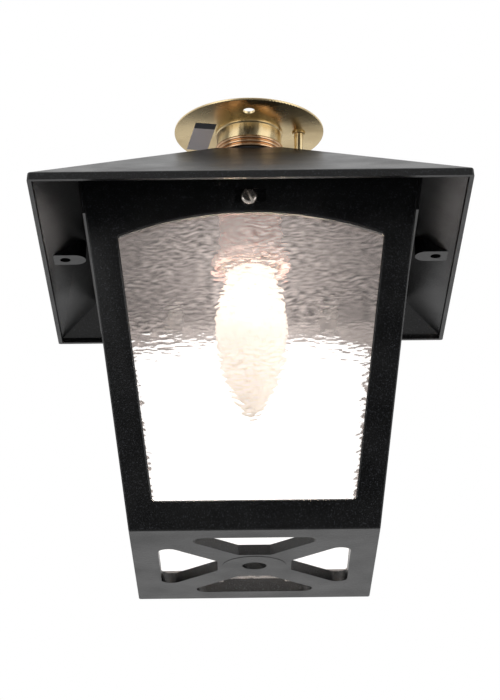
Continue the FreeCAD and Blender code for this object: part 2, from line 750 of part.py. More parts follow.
def glassSeats(body):
    # Ribs on the floor behind each pane, clip bosses above it, and ribs that
    # keep the clamp bars from turning.
    ribFace = "-(floorHalf - paneBack * lean - paneClearance * 4)"
    ribBack = ribFace + " + paneRibThickness"
    ribOutline = polygon(body, "pane_rib_outline", "XY_Plane", [
        ("-paneRibLength / 2", ribFace), ("paneRibLength / 2", ribFace),
        ("paneRibLength / 2", ribBack), ("-paneRibLength / 2", ribBack)], "-floorDepth")
    rib = pad(body, "pane_rib", ribOutline, "paneRibHeight")
    inwards = turn((1, 0, 0), -90)
    # Looking along these placements, across is X and up is down the slope.
    bossSeat = wallPlace(0) * at(0, size("wallThickness"), clipHeight()) * inwards
    bossTop = wallPlace(0) * at(0, size("paneBack"), clipHeight()) * inwards
    bosses = circles(body, "clip_boss_outlines", "XY_Plane", bossSeat,
                     ("-clipOffset", "0", "clipBossRadius"), ("clipOffset", "0", "clipBossRadius"))
    bossPad = pad(body, "clip_bosses", bosses, "paneBack - wallThickness")
    drill = "clipScrewRadius + threadClearance"
    holes = circles(body, "clip_hole_outlines", "XY_Plane", bossTop,
                    ("-clipOffset", "0", drill), ("clipOffset", "0", drill))
    drilled = pocketThrough(body, "clip_holes", holes, "clipScrewLength")
    around(body, "glass_seats", [rib, bossPad, drilled], 4)
    barSeat = at(size("screwShift"), size("wallThickness"), upWall(size("screwDepth")))
    stops = newSketch(body, "bar_stop_outlines", "XY_Plane", wallPlace(0) * barSeat * inwards)
    barEnd = "clampBarLength / 2 + clampBarGap"
    for hand in ("-", ""):
        inner = "%s(%s)" % (hand, barEnd)
        outer = "%s(%s + barRibThickness)" % (hand, barEnd)
        addLoop(stops, [(inner, "-clampBarWidth / 2"), (outer, "-clampBarWidth / 2"),
                        (outer, "clampBarWidth / 2"), (inner, "clampBarWidth / 2")])
    stopPad = pad(body, "bar_stop", stops, "barBack + clampBarThickness - wallThickness")
    around(body, "bar_stops", [stopPad], 2)


def clipHeight():
    return upWall(size("windowApexDepth") - size("paneTopLap") - size("clipBossRise"))


def glassPanes():
    # A pane stands behind each window, between the wall and its floor rib.
    low = upWall(size("floorDepth")) + size("paneFootGap")
    high = upWall(size("windowApexDepth") - size("paneTopLap"))
    sill = upWall(size("sillDepth"))
    rise = upWall(size("windowTopDepth")) - sill
    splay = (size("windowTopHalf") - size("sillHalf")) / rise
    lowHalf = size("sillHalf") + size("paneOverlap") + splay * (low - sill)
    highHalf = size("sillHalf") + size("paneOverlap") + splay * (high - sill)
    panes = []
    for side, name in enumerate(("front", "right", "rear", "left")):
        body = newBody("glass_" + name)
        corners = [("%.4f" % x, "%.4f" % z) for x, z in
                   ((-lowHalf, low), (lowHalf, low), (highHalf, high), (-highHalf, high))]
        outline = polygon(body, "pane_outline_" + name, "XZ_Plane", corners,
                          "-wallThickness - paneClearance")
        sheetOfGlass = pad(body, "pane_" + name, outline, "paneThickness")
        sheetOfGlass.Reversed = True
        body.Placement = wallPlace(side)
        panes.append(body)
    return panes


def screwShape(radius, length, headRadius, headHeight, slotWidth, slotDepth, slotTurn):
    # A slotted pan-head screw: the head's seat is at z = 0, the shank goes up.
    flat = headRadius * 0.72
    rim = headHeight * 0.4
    shoulder = FreeCAD.Vector(headRadius, 0, -rim)
    crown = FreeCAD.Vector(flat, 0, -headHeight)
    swell = FreeCAD.Vector(headRadius * 0.93, 0, -(rim + headHeight) / 2 - rim / 10)
    line = [crown] + [FreeCAD.Vector(x, 0, z) for x, z in
                      ((0, -headHeight), (0, length), (radius, length), (radius, 0), (headRadius, 0))]
    edges = [Part.Arc(shoulder, swell, crown).toShape()] + Part.makePolygon(line + [shoulder]).Edges
    solid = Part.Face(Part.Wire(edges)).revolve(FreeCAD.Vector(), FreeCAD.Vector(0, 0, 1), 360)
    across = 3 * headRadius
    slot = Part.makeBox(across, slotWidth, 2 * slotDepth,
                        FreeCAD.Vector(-across / 2, -slotWidth / 2, -headHeight - slotDepth))
    slot.rotate(FreeCAD.Vector(), FreeCAD.Vector(0, 0, 1), slotTurn)
    return solid.cut(slot)


def barWithHole(length, thickness, height, low, screwRadius):
    # A flat bar across X, its front at y = 0, with a hole for a screw on the Y axis.
    bar = Part.makeBox(length, thickness, height, FreeCAD.Vector(-length / 2, 0, low))
    hole = Part.makeCylinder(screwRadius + size("threadClearance"), thickness,
                             FreeCAD.Vector(), FreeCAD.Vector(0, 1, 0))
    return bar.cut(hole)


def bodyScrews():
    screws = []
    bars = []
    bar = barWithHole(size("clampBarLength"), size("clampBarThickness"), size("clampBarWidth"),
                      -size("clampBarWidth") / 2, size("screwRadius"))
    for side, name in ((0, "front"), (2, "rear")):
        screw = doc.addObject("Part::Feature", "body_screw_" + name)
        screw.Label = "body_screw_" + name
        screw.Shape = screwShape(size("screwRadius"), size("screwLength"), size("screwHeadRadius"),
                                 size("screwHeadHeight"), size("driverSlotWidth"),
                                 size("driverSlotDepth"), size(name + "SlotTurn"))
        height = upWall(size("screwDepth"))
        screw.Placement = wallPlace(side) * at(size("screwShift"), 0, height) * turn((1, 0, 0), -90)
        screws.append(screw)
        bars.append(placed(bar, wallPlace(side) * at(size("screwShift"), size("barBack"), height)))
    return screws + [group("clamp_bars", bars)]


def clips():
    # Two clips on each rail press a pane's top edge against its wall.
    drop = size("clipBossRise") + size("clipReach")
    above = size("clipBossRadius") + size("clipTopLap")
    clip = barWithHole(size("clipWidth"), size("clipThickness"), drop + above, -drop,
                       size("clipScrewRadius"))
    shank = size("clipScrewLength") + size("clipThickness") - size("clipScrewEndGap")
    screw = screwShape(size("clipScrewRadius"), shank, size("clipHeadRadius"), size("clipHeadHeight"),
                       size("clipSlotWidth"), size("clipSlotDepth"), size("clipSlotTurn"))
    plates = []
    screws = []
    for side in range(4):
        for hand in (-1, 1):
            seat = wallPlace(side) * at(hand * size("clipOffset"), size("paneBack"), clipHeight())
            plates.append(placed(clip, seat))
            screws.append(placed(screw, seat * at(0, size("clipThickness"), 0) * turn((1, 0, 0), 90)))
    return [group("glass_clips", plates), group("clip_screws", screws)]


def hexNut(bore, flats, height, top):
    across = flats / math.sqrt(3)
    corners = [FreeCAD.Vector(across * math.cos(bearing), across * math.sin(bearing), 0)
               for bearing in (math.radians(60 * i) for i in range(7))]
    nut = Part.Face(Part.makePolygon(corners)).extrude(FreeCAD.Vector(0, 0, height))
    nut = nut.cut(Part.makeCylinder(bore, height))
    nut.translate(FreeCAD.Vector(0, 0, top - height))
    return nut


def lampholder():
    nipple = washer("nipple", "nippleBore", "nippleRadius", "-nippleTopDepth", "-nippleBottomDepth")
    bore = size("nippleHoleRadius")
    flats = size("nippleNutFlats")
    height = size("nippleNutHeight")
    above = hexNut(bore, flats, height, -size("neckDepth") + size("neckWebThickness") + height)
    below = hexNut(bore, flats, height, -size("neckDepth"))
    nuts = group("nipple_nuts", [above, below])
    shoulder = "-holderTopDepth - holderCollarHeight"
    capInside = "holderCapRadius - holderWall"
    cap = turned("holder_cap", [
        ("nippleHoleRadius", "-holderTopDepth"), ("holderCollarRadius", "-holderTopDepth"),
        ("holderCollarRadius", shoulder), ("holderCapRadius * 0.82", shoulder + " - holderWall"),
        ("holderCapRadius", shoulder + " - holderWall * 4"), ("holderCapRadius", "-coreBottomDepth"),
        (capInside, "-coreBottomDepth"), (capInside, shoulder + " - holderWall * 4.5"),
        ("holderCapRadius * 0.78", shoulder + " - holderWall * 2.1"),
        ("nippleHoleRadius", shoulder + " - holderWall * 1.1")])
    core = washer("holder_core", "contactRadius / 2", capInside + " - coreClearance", "-coreTopDepth",
                  "-coreBottomDepth")
    flange = "-skirtBottomDepth + skirtFlangeHeight"
    # The flange has one groove round it and a hollow foot.
    skirt = turned("holder_skirt", [
        ("skirtRadius - skirtWall", "-coreBottomDepth"), ("skirtRadius", "-coreBottomDepth"),
        ("skirtRadius", flange + " + skirtWall * 2.5"), ("skirtFlangeRadius", flange),
        ("skirtFlangeRadius", flange + " - skirtFlangeHeight / 3"),
        ("skirtFlangeRadius - skirtGrooveDepth", flange + " - skirtFlangeHeight / 2"),
        ("skirtFlangeRadius", flange + " - skirtFlangeHeight * 2 / 3"),
        ("skirtFlangeRadius", "-skirtBottomDepth"),
        ("skirtFlangeRadius - skirtRimWidth", "-skirtBottomDepth"), ("skirtRadius - skirtWall", flange)])
    shell = washer("holder_screw_shell", "shellRadius", "shellRadius + shellWall", "-coreBottomDepth",
                   "-skirtBottomDepth + shellRise")
    pin = "contactRadius / 2 - threadClearance"
    pinTop = "-(coreTopDepth + coreBottomDepth) / 2"
    face = "-coreBottomDepth - contactThickness"
    contact = turned("holder_centre_contact", [
        ("0", pinTop), (pin, pinTop), (pin, "-coreBottomDepth"), ("contactRadius", "-coreBottomDepth"),
        ("contactRadius * 0.8", face), ("0", face)])
    heads = []
    for hand in (-1, 1):
        height = size("terminalHeight")
        across = 3 * size("terminalRadius")
        wide = size("terminalSlotWidth")
        slot = Part.makeBox(across, wide, height, FreeCAD.Vector(-across / 2, -wide / 2,
                                                                 height - size("terminalSlotDepth")))
        head = Part.makeCylinder(size("terminalRadius"), height).cut(slot)
        heads.append(placed(head, at(hand * size("terminalOffset"), 0, -size("coreTopDepth"))))
    terminals = group("holder_terminal_screws", heads)
    return [nipple, nuts, cap, core, skirt, shell, contact, terminals]


def lampCapCorners():
    # The crests and roots of the cap's rolled thread, from its rim upwards.
    threadCount = 4
    inside = "lampCapRoot - lampCapWall"
    corners = [(inside, "-lampCapBottomDepth"), ("lampCapRoot + lampCapWall", "-lampCapBottomDepth")]
    for number in range(threadCount):
        foot = "-lampCapBottomDepth + lampCapPitch * %.1f" % (number + 1.1)
        corners += [("lampCapRoot", foot), ("lampCapRadius", foot + " + lampCapPitch * 0.35"),
                    ("lampCapRadius", foot + " + lampCapPitch * 0.65")]
    corners += [("lampCapRoot", "-lampCapTopDepth - lampCapWall * 1.6"),
                ("lampInsulatorRadius", "-lampCapTopDepth"),
                ("lampInsulatorRadius - lampCapWall", "-lampCapTopDepth"),
                (inside, "-lampCapTopDepth - lampCapWall * 3.2")]
    return corners


def glassBulb():
    # A closed candle shape: a straight neck, a swell and a long taper.
    widest = size("glassWidestRadius")
    neckRadius = size("glassNeckRadius")
    top = -size("glassNeckTopDepth")
    swell = -size("glassWidestDepth")
    tip = -size("glassTipDepth")
    rim = -size("lampCapBottomDepth")

    def outline(inset):
        # Shares of the widest radius, at shares of the way to the rim or the tip.
        path = [FreeCAD.Vector(neckRadius - inset, 0, rim)]
        for share, reach in ((0.86, 0.62), (0.975, 0.3), (1, 0)):
            path.append(FreeCAD.Vector(widest * share - inset, 0, swell + reach * (rim - swell)))
        for share, reach in ((0.93, 0.27), (0.7, 0.6), (0.36, 0.87)):
            path.append(FreeCAD.Vector(widest * share - inset, 0, swell + reach * (tip - swell)))
        path.append(FreeCAD.Vector(0, 0, tip + inset * 1.4))
        curve = Part.BSplineCurve()
        curve.interpolate(Points=path, InitialTangent=FreeCAD.Vector(0, 0, -1),
                          FinalTangent=FreeCAD.Vector(-1, 0, -0.25))
        return path, curve.toShape()
    outerPath, outerEdge = outline(0)
    innerPath, innerEdge = outline(size("glassWall"))
    outerTop = FreeCAD.Vector(outerPath[0].x, 0, top)
    innerTop = FreeCAD.Vector(innerPath[0].x, 0, top)
    edges = [Part.makeLine(outerTop, outerPath[0]), outerEdge,
             Part.makeLine(outerPath[-1], innerPath[-1]), innerEdge,
             Part.makeLine(innerPath[0], innerTop), Part.makeLine(innerTop, outerTop)]
    face = Part.Face(Part.Wire(Part.__sortEdges__(edges)))
    bulb = doc.addObject("Part::Feature", "lamp_envelope")
    bulb.Label = "lamp_envelope"
    bulb.Shape = Part.makeSolid(face.revolve(FreeCAD.Vector(), FreeCAD.Vector(0, 0, 1), 360))
    return bulb


def lamp():
    tipEdge = "-lampTipBottomDepth + lampTipThickness / 4"
    tip = turned("lamp_tip_contact", [
        ("0", "-lampTipDepth"), ("lampTipRadius * 0.7", "-lampTipDepth"), ("lampTipRadius", tipEdge),
        ("lampTipRadius", "-lampTipBottomDepth"), ("0", "-lampTipBottomDepth")])
    insulator = turned("lamp_cap_insulator", [
        ("0", "-lampTipBottomDepth"), ("lampTipRadius + lampCapWall", "-lampTipBottomDepth"),
        ("lampInsulatorRadius - lampCapWall", "-lampCapTopDepth"), ("0", "-lampCapTopDepth")])
    cap = turned("lamp_cap", lampCapCorners())
    flareFoot = "-glassNeckTopDepth - stemFlareDepth"
    stem = turned("lamp_stem", [
        ("0", "-glassNeckTopDepth"), ("glassNeckInner", "-glassNeckTopDepth"),
        ("glassNeckInner", "-glassNeckTopDepth - glassWall"), ("stemRadius", flareFoot),
        ("stemRadius", "-stemBottomDepth"), ("0", "-stemBottomDepth")])
    return [tip, insulator, cap, glassBulb(), stem] + filament()


def filament():
    # An open ring of coiled wire, held by four wires beside the stem.
    ring = doc.addObject("Part::Torus", "lamp_filament")
    ring.Label = "lamp_filament"
    bind(ring, Radius1="filamentRadius", Radius2="filamentWire", Angle3="filamentAngle",
         Placement_Base_z="-filamentDepth")
    leads = []
    leadCount = 4
    for number in range(leadCount):
        bearing = math.radians(size("filamentAngle") * number / (leadCount - 1))
        outward = FreeCAD.Vector(math.cos(bearing), math.sin(bearing), 0)
        foot = outward * (size("stemRadius") + size("leadRadius") + size("leadGap"))
        foot.z = size("leadRise") - size("stemBottomDepth")
        end = outward * size("filamentRadius") + FreeCAD.Vector(0, 0, -size("filamentDepth"))
        reach = end.sub(foot)
        length = reach.Length - size("filamentWire") - size("leadGap")
        leads.append(Part.makeCylinder(size("leadRadius"), length, foot, reach))
    return [ring, group("lamp_leads", leads)]


def subParts():
    pieces = [ceilingPlate(), paperLabel()] + earthTerminal() + [neck(), upperLockRing()]
    pieces.append(washer("roof_gasket", "ringBore", "gasketRadius",
                         "-roofPlateauDepth + gasketThickness", "-roofPlateauDepth"))
    pieces.append(washer("lower_lock_ring", "ringBore", "lowerRingRadius",
                         "-lowerRingTopDepth", "-lowerRingTopDepth - lowerRingHeight"))
    pieces += [roof(), lanternBody()] + glassPanes() + clips() + bodyScrews() + lampholder() + lamp()
    return pieces


def checkAndWrite(pieces):
    doc.recompute()
    for thing in doc.Objects:
        if "Invalid" in thing.State or "Error" in thing.State:
            raise RuntimeError("%s did not recompute" % thing.Label)
    os.makedirs("parts", exist_ok=True)
    for piece in pieces:
        if piece.Shape.isNull() or not piece.Shape.isValid():
            raise RuntimeError("%s has no valid shape" % piece.Label)
        piece.Shape.exportStep("parts/%s.step" % piece.Label)
        box = piece.Shape.BoundBox
        print("%-24s %2d solid  %10.1f mm3  z %8.2f to %8.2f" %
              (piece.Label, len(piece.Shape.Solids), piece.Shape.Volume, box.ZMin, box.ZMax))


fillSheet()
checkAndWrite(subParts())
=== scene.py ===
import bpy
import bmesh
import json
import math
from mathutils import Matrix, Vector, noise


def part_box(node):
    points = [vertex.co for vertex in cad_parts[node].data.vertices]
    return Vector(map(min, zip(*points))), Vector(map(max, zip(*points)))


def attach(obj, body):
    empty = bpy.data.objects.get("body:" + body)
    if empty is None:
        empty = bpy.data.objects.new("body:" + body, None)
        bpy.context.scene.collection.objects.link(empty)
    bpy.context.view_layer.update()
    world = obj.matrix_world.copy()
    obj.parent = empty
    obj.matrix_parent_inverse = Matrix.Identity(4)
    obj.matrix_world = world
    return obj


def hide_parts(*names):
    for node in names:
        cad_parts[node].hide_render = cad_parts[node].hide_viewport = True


# lengths are in metres and colours are linear throughout
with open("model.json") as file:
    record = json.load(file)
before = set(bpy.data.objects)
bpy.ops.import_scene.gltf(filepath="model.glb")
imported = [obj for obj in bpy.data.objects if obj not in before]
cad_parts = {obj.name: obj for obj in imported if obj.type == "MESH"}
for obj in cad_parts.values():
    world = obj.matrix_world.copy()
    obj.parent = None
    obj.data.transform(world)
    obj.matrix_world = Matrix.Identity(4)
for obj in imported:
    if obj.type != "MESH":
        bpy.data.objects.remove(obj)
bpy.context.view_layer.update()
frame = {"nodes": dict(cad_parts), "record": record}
record = frame["record"]
slotOf = {part["node"]: part["material_slot"] for part in record["subparts"]}
bodyOf = {node: body for body, nodes in record["behaviour"]["bodies"].items() for node in nodes}
filamentLow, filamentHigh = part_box("lamp_filament")
filamentMiddle = (filamentLow + filamentHigh) / 2
print("frame loaded:", len(frame["nodes"]), "nodes")


def newShader(name, colour, metallic=0.0, roughness=0.5, **sockets):
    made = bpy.data.materials.new(name)
    made.use_nodes = True
    surface = made.node_tree.nodes["Principled BSDF"]
    surface.inputs["Base Color"].default_value = (*colour, 1)
    surface.inputs["Metallic"].default_value = metallic
    surface.inputs["Roughness"].default_value = roughness
    for socket, value in sockets.items():
        surface.inputs[socket.replace("_", " ")].default_value = value
    return made


def addNode(tree, kind, settings=None, **inputs):
    node = tree.nodes.new(kind)
    for name, value in (settings or {}).items():
        setattr(node, name, value)
    for name, value in inputs.items():
        node.inputs[name.replace("_", " ")].default_value = value
    return node


def placeOf(tree, stretch=(1, 1, 1), centre=(0, 0, 0), turn=(0, 0, 0)):
    # object coordinates, moved so that centre is the middle
    source = addNode(tree, "ShaderNodeTexCoord")
    move = addNode(tree, "ShaderNodeMapping", {"vector_type": "TEXTURE"})
    move.inputs["Location"].default_value = centre
    move.inputs["Rotation"].default_value = turn
    move.inputs["Scale"].default_value = [1 / share for share in stretch]
    tree.links.new(source.outputs["Object"], move.inputs["Vector"])
    return move.outputs["Vector"]


def noiseOf(tree, place, size, detail=2.0):
    # size is the width of one blotch
    node = addNode(tree, "ShaderNodeTexNoise", Scale=1 / size, Detail=detail, Roughness=0.5)
    tree.links.new(place, node.inputs["Vector"])
    return node.outputs["Fac"]


def spread(tree, value, low, high, toLow, toHigh):
    node = addNode(tree, "ShaderNodeMapRange",
                   From_Min=low, From_Max=high, To_Min=toLow, To_Max=toHigh)
    tree.links.new(value, node.inputs["Value"])
    return node.outputs["Result"]


def splitPlace(tree, place):
    node = addNode(tree, "ShaderNodeSeparateXYZ")
    tree.links.new(place, node.inputs["Vector"])
    return node.outputs


def blendColours(tree, value, first, second):
    node = addNode(tree, "ShaderNodeMix", {"data_type": "RGBA"})
    tree.links.new(value, node.inputs["Factor"])
    node.inputs[6].default_value = (*first, 1)  # 6 and 7 are the colour sockets
    node.inputs[7].default_value = (*second, 1)
    return node.outputs[2]


def addBump(material, height, depth, strength=1.0, under=None):
    # depth is how far the full range of height stands up
    tree = material.node_tree
    node = addNode(tree, "ShaderNodeBump", Strength=strength, Distance=depth)
    tree.links.new(height, node.inputs["Height"])
    if under is not None:
        tree.links.new(under, node.inputs["Normal"])
    feed(material, node.outputs["Normal"], "Normal")
    return node.outputs["Normal"]


def feed(material, value, socket):
    tree = material.node_tree
    tree.links.new(value, tree.nodes["Principled BSDF"].inputs[socket])


castingFinish = {
    "colour": (0.001, 0.0012, 0.0015), "speck": (0.026, 0.028, 0.033), "speckFrom": (0.57, 0.76),
    "roughness": (0.3, 0.4), "cloudSize": 0.02, "cloudFrom": (0.35, 0.7),
    "peelSize": 0.0022, "peelDepth": 0.00005,
    "grainSize": 0.00065, "grainDepth": 0.00012, "grainStrength": 0.9,
}


def blackCasting():
    # powder coat: fine light specks over a slight orange peel
    look = castingFinish
    made = newShader("black_powder_coat", look["colour"], roughness=look["roughness"][1], IOR=1.5)
    tree = made.node_tree
    place = placeOf(tree)
    grain = noiseOf(tree, place, look["grainSize"], detail=1.0)
    specks = spread(tree, grain, *look["speckFrom"], 0.0, 1.0)
    feed(made, blendColours(tree, specks, look["colour"], look["speck"]), "Base Color")
    cloudy = noiseOf(tree, place, look["cloudSize"], detail=3.0)
    feed(made, spread(tree, cloudy, *look["cloudFrom"], *look["roughness"]), "Roughness")
    peel = addBump(made, noiseOf(tree, place, look["peelSize"]), look["peelDepth"])
    addBump(made, grain, look["grainDepth"], look["grainStrength"], peel)
    return made


# each with its clean and tarnished colour and roughness, the depth of its drawn
# lines and the width of its tarnished patches
bareMetals = {
    "polished_brass": {
        "name": "polished_brass", "colour": (0.83, 0.66, 0.38), "tarnished": (0.68, 0.52, 0.28),
        "roughness": (0.25, 0.32), "scratch": 0.000006, "blotch": 0.02},
    "copper_ring": {
        "name": "copper_toned_brass", "colour": (0.86, 0.58, 0.36), "tarnished": (0.6, 0.34, 0.18),
        "roughness": (0.16, 0.26), "scratch": 0.000008},
    "holder_brass": {
        "name": "holder_copper_brass", "colour": (0.93, 0.66, 0.56), "roughness": (0.4, 0.52),
        "tarnished": (0.82, 0.46, 0.38), "scratch": 0.000012, "metallic": 0.55},  # lacquered
    "contact_brass": {
        "name": "contact_brass", "colour": (0.8, 0.62, 0.3), "tarnished": (0.5, 0.36, 0.16),
        "roughness": (0.25, 0.4)},
    "zinc_steel": {
        "name": "zinc_plated_steel", "colour": (0.6, 0.61, 0.63), "tarnished": (0.38, 0.38, 0.36),
        "roughness": (0.28, 0.45), "scratch": 0.00002},
    "nickel_screw": {
        "name": "nickel_screw", "colour": (0.8, 0.74, 0.68), "tarnished": (0.5, 0.42, 0.36),
        "roughness": (0.18, 0.34), "blotch": 0.003},
    "lamp_cap_metal": {
        "name": "lamp_cap_aluminium", "colour": (0.74, 0.74, 0.75), "tarnished": (0.5, 0.48, 0.46),
        "roughness": (0.25, 0.4)},
    "lamp_solder": {
        "name": "soft_solder", "colour": (0.55, 0.55, 0.56), "tarnished": (0.32, 0.31, 0.3),
        "roughness": (0.35, 0.55), "scratch": 0.00005, "blotch": 0.002, "stretch": (1, 1, 1)},
}
metalPattern = {
    "scratch": 0.00001, "blotch": 0.012, "stretch": (1, 1, 6), "metallic": 1.0,
    "tarnishFrom": (0.45, 0.72), "roughFrom": (0.35, 0.7), "lineSize": 0.0012,
}


def bareMetal(slot):
    # fine drawn lines and slight cloudy tarnish
    look = {**metalPattern, **bareMetals[slot]}
    made = newShader(look["name"], look["colour"], look["metallic"], look["roughness"][0])
    tree = made.node_tree
    cloudy = noiseOf(tree, placeOf(tree), look["blotch"], detail=3.0)
    tarnish = spread(tree, cloudy, *look["tarnishFrom"], 0.0, 1.0)
    feed(made, blendColours(tree, tarnish, look["colour"], look["tarnished"]), "Base Color")
    feed(made, spread(tree, cloudy, *look["roughFrom"], *look["roughness"]), "Roughness")
    lines = noiseOf(tree, placeOf(tree, look["stretch"]), look["lineSize"])
    addBump(made, lines, look["scratch"])
    return made


paperFinish = {
    "colour": (0.94, 0.89, 0.92), "roughness": 0.7, "turn": 10.0, "widthShare": 0.35,
    # the dark band is a painted reflection of the slip's shaded back, where its front end lifts
    "band": (0.06, 0.07, 0.09), "bandShare": 0.18, "bandEdge": 0.0004,
    "fibreSize": 0.0009, "fibreDepth": 0.00003,
}


def paperStock():
    # a bare slip with a dark band across its front end, a painted reflection of the slip's shaded
    # back
    look = paperFinish
    low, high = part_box("paper_label")
    middle = (low + high) / 2
    turn = math.radians(look["turn"])
    length = (high.y - low.y) / (math.cos(turn) + math.sin(turn) * look["widthShare"])
    made = newShader("label_paper", look["colour"], roughness=look["roughness"])
    tree = made.node_tree
    place = placeOf(tree, (1, 1, 1), middle, (0, 0, turn))
    edge = -length / 2 + length * look["bandShare"]
    inPaintedReflection = spread(tree, splitPlace(tree, place)["Y"], edge, edge + look["bandEdge"], 1.0, 0.0)
    feed(made, blendColours(tree, inPaintedReflection, look["colour"], look["band"]), "Base Color")
    addBump(made, noiseOf(tree, place, look["fibreSize"], detail=4.0), look["fibreDepth"])
    return made


gasketFinish = {
    "colour": (0.012, 0.012, 0.012), "roughness": 0.75, "grainSize": 0.0008, "grainDepth": 0.00006,
}


def rubberGasket():
    look = gasketFinish
    made = newShader("gasket_rubber", look["colour"], roughness=look["roughness"])
    tree = made.node_tree
    grain = noiseOf(tree, placeOf(tree), look["grainSize"], detail=3.0)
    addBump(made, grain, look["grainDepth"])
    return made


insulatorFinish = {
    "colour": (0.01, 0.009, 0.012), "roughness": 0.2, "waveSize": 0.003, "waveDepth": 0.0001,
}


def blackInsulator():
    look = insulatorFinish
    made = newShader("vitrite_glass", look["colour"], roughness=look["roughness"])
    tree = made.node_tree
    addBump(made, noiseOf(tree, placeOf(tree), look["waveSize"]), look["waveDepth"])
    return made


porcelainFinish = {
    "colour": (0.74, 0.72, 0.66), "spot": (0.5, 0.46, 0.38), "roughness": 0.22,
    "spotSize": 0.0015, "spotFrom": (0.66, 0.74), "waveSize": 0.004, "waveDepth": 0.00008,
}


def glazedPorcelain():
    # a white glaze, slightly wavy, with a few darker pinholes
    look = porcelainFinish
    made = newShader("glazed_porcelain", look["colour"], roughness=look["roughness"])
    tree = made.node_tree
    place = placeOf(tree)
    dots = noiseOf(tree, place, look["spotSize"], detail=1.0)
    spots = spread(tree, dots, *look["spotFrom"], 0.0, 1.0)
    feed(made, blendColours(tree, spots, look["colour"], look["spot"]), "Base Color")
    addBump(made, noiseOf(tree, place, look["waveSize"]), look["waveDepth"])
    return made


paneFinish = {
    "colour": (0.985, 0.99, 0.985), "roughness": 0.03, "seedSize": 0.0008, "seedDepth": 0.00002,
    # glow is the colour of the painted glow of the lamp's light
    "seedStretch": (0.4, 0.4, 1), "glow": (1.0, 0.85, 0.79),
}


def rippledGlass():
    look = paneFinish
    made = newShader("rippled_glass", look["colour"], roughness=look["roughness"], IOR=1.5,
                     Transmission_Weight=1.0, Emission_Color=(*look["glow"], 1))
    tree = made.node_tree
    fine = noiseOf(tree, placeOf(tree, look["seedStretch"]), look["seedSize"])
    addBump(made, fine, look["seedDepth"])
    # each pane carries a painted glow: emission that stands for the lamp's light scattered in its
    # glass
    paintedGlare = addNode(tree, "ShaderNodeAttribute", {"attribute_name": "paintedLampGlare"})
    feed(made, paintedGlare.outputs["Fac"], "Emission Strength")
    return made


lampFinish = {
    "colour": (0.78, 0.71, 0.63), "roughness": 0.36, "glow": (1.0, 0.84, 0.68),
    "hotStrength": 0.8, "hotWithin": 0.012, "dimStrength": 0.24, "dimBeyond": 0.027,
    "waveSize": 0.002, "waveDepth": 0.00001,
}


def lampGlass():
    # pearl glass, brightest beside the filament
    look = lampFinish
    made = newShader("pearl_lamp_glass", look["colour"], roughness=look["roughness"], IOR=1.45,
                     Emission_Color=(*look["glow"], 1))
    tree = made.node_tree
    away = addNode(tree, "ShaderNodeVectorMath", {"operation": "LENGTH"})
    tree.links.new(placeOf(tree, (1, 1, 1), filamentMiddle), away.inputs[0])
    hot = spread(tree, away.outputs["Value"], look["hotWithin"], look["dimBeyond"],
                 look["hotStrength"], look["dimStrength"])
    feed(made, hot, "Emission Strength")
    addBump(made, noiseOf(tree, placeOf(tree), look["waveSize"]), look["waveDepth"])
    return made


tungstenFinish = {
    "colour": (0.3, 0.28, 0.26), "roughness": 0.4, "glow": (1.0, 0.7, 0.38), "strength": 25.0,
    "grainSize": 0.0004, "grainDepth": 0.00005,
}


def hotTungsten():
    look = tungstenFinish
    made = newShader("hot_tungsten", look["colour"], metallic=1.0, roughness=look["roughness"],
                     Emission_Strength=look["strength"], Emission_Color=(*look["glow"], 1))
    tree = made.node_tree
    addBump(made, noiseOf(tree, placeOf(tree), look["grainSize"]), look["grainDepth"])
    return made


finishes = {slot: bareMetal(slot) for slot in bareMetals}
finishes.update({
    "paper": paperStock(), "rubber_gasket": rubberGasket(), "black_casting": blackCasting(),
    "rippled_glass": rippledGlass(), "porcelain": glazedPorcelain(),
    "black_insulator": blackInsulator(), "lamp_glass": lampGlass(), "tungsten": hotTungsten(),
})
for nodeName, node in frame["nodes"].items():
    node.data.materials.clear()
    node.data.materials.append(finishes[slotOf[nodeName]])
print("finishes made:", len(finishes))


mergeWithin = 0.00001  # joins the corners that neighbouring faces repeat


def copyOfNode(nodeName):
    mesh = bmesh.new()
    mesh.from_mesh(frame["nodes"][nodeName].data)
    bmesh.ops.remove_doubles(mesh, verts=mesh.verts, dist=mergeWithin)
    return mesh


def finishPiece(mesh, name, nodeName, smoothAngle):
    # the mesh becomes the piece that stands for a CAD node, on that node's body
    data = bpy.data.meshes.new(name)
    mesh.to_mesh(data)
    mesh.free()
    piece = bpy.data.objects.new(name, data)
    bpy.context.scene.collection.objects.link(piece)
    data.materials.append(finishes[slotOf[nodeName]])
    data.shade_smooth()
    data.set_sharp_from_angle(angle=math.radians(smoothAngle))
    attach(piece, bodyOf[nodeName])
    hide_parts(nodeName)
    return piece


def roundEdges(piece, width, sharpFrom):
    bevel = piece.modifiers.new("edge_round", "BEVEL")
    bevel.width = width
    bevel.segments = 2
    bevel.limit_method = "ANGLE"
    bevel.angle_limit = math.radians(sharpFrom)
    bevel.harden_normals = True
    bevel.use_clamp_overlap = True


glassRipple = {
    "acrossCuts": 110, "upCuts": 330, "depth": 0.00023, "innerShare": 0.4, "edgeFade": 0.002,
    "waveLength": 0.0036, "waveHeight": 0.0009, "bend": 0.0022, "bendSize": 0.009, "bendSeed": 7,
    "fineAcross": 2.3, "fineUp": 1.9, "fineShare": 0.35, "fineSeed": 3, "gain": 1.3,
    "patchSize": 0.018, "patchMiddle": 0.75, "patchSwing": 1.1, "patchLeast": 0.35,
    "patchSeed": 11, "sideSeed": 20, "innerSeed": 9,  # keep the eight sheets' patterns apart
    "flatWithin": 0.01, "longAcross": 0.05, "longUp": 0.1, "facing": 0.9, "smoothAngle": 60,
}
